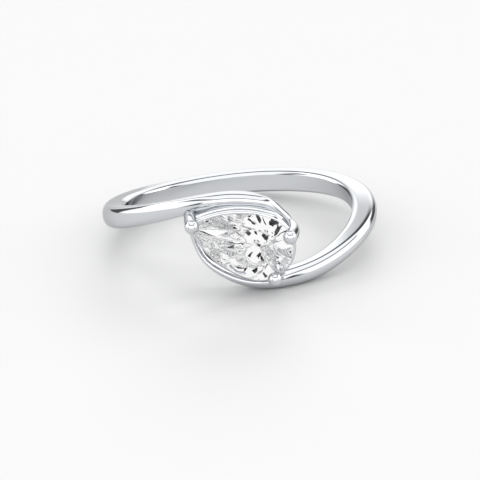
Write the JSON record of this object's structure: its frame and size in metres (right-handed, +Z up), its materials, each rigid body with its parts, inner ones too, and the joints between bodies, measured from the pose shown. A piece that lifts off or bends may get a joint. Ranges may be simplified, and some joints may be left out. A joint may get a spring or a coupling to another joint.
{
  "type": "pear diamond ring",
  "caption": "White gold ring with a narrow bypass band whose two ends sweep past and hold a pear cut stone in ball-tipped prongs over a thin gallery rail.",
  "frame": {"origin": "middle of the finger hole, on its axis", "axes": "+Z up from the surface that the ring lies on, 8 degrees off the finger hole's axis; -Y towards the stone, so the long way across the ring runs along Y; +X to the right, seen from the stone"},
  "size_m": [0.0206, 0.0225, 0.0071],
  "materials": {
    "white_gold": "rhodium-plated white gold, mirror polished",
    "diamond": "colourless diamond, cut and polished facets"
  },
  "bodies": {
    "root": {"ring_setting": "white_gold", "pear_stone": "diamond"}
  },
  "joints": []
}
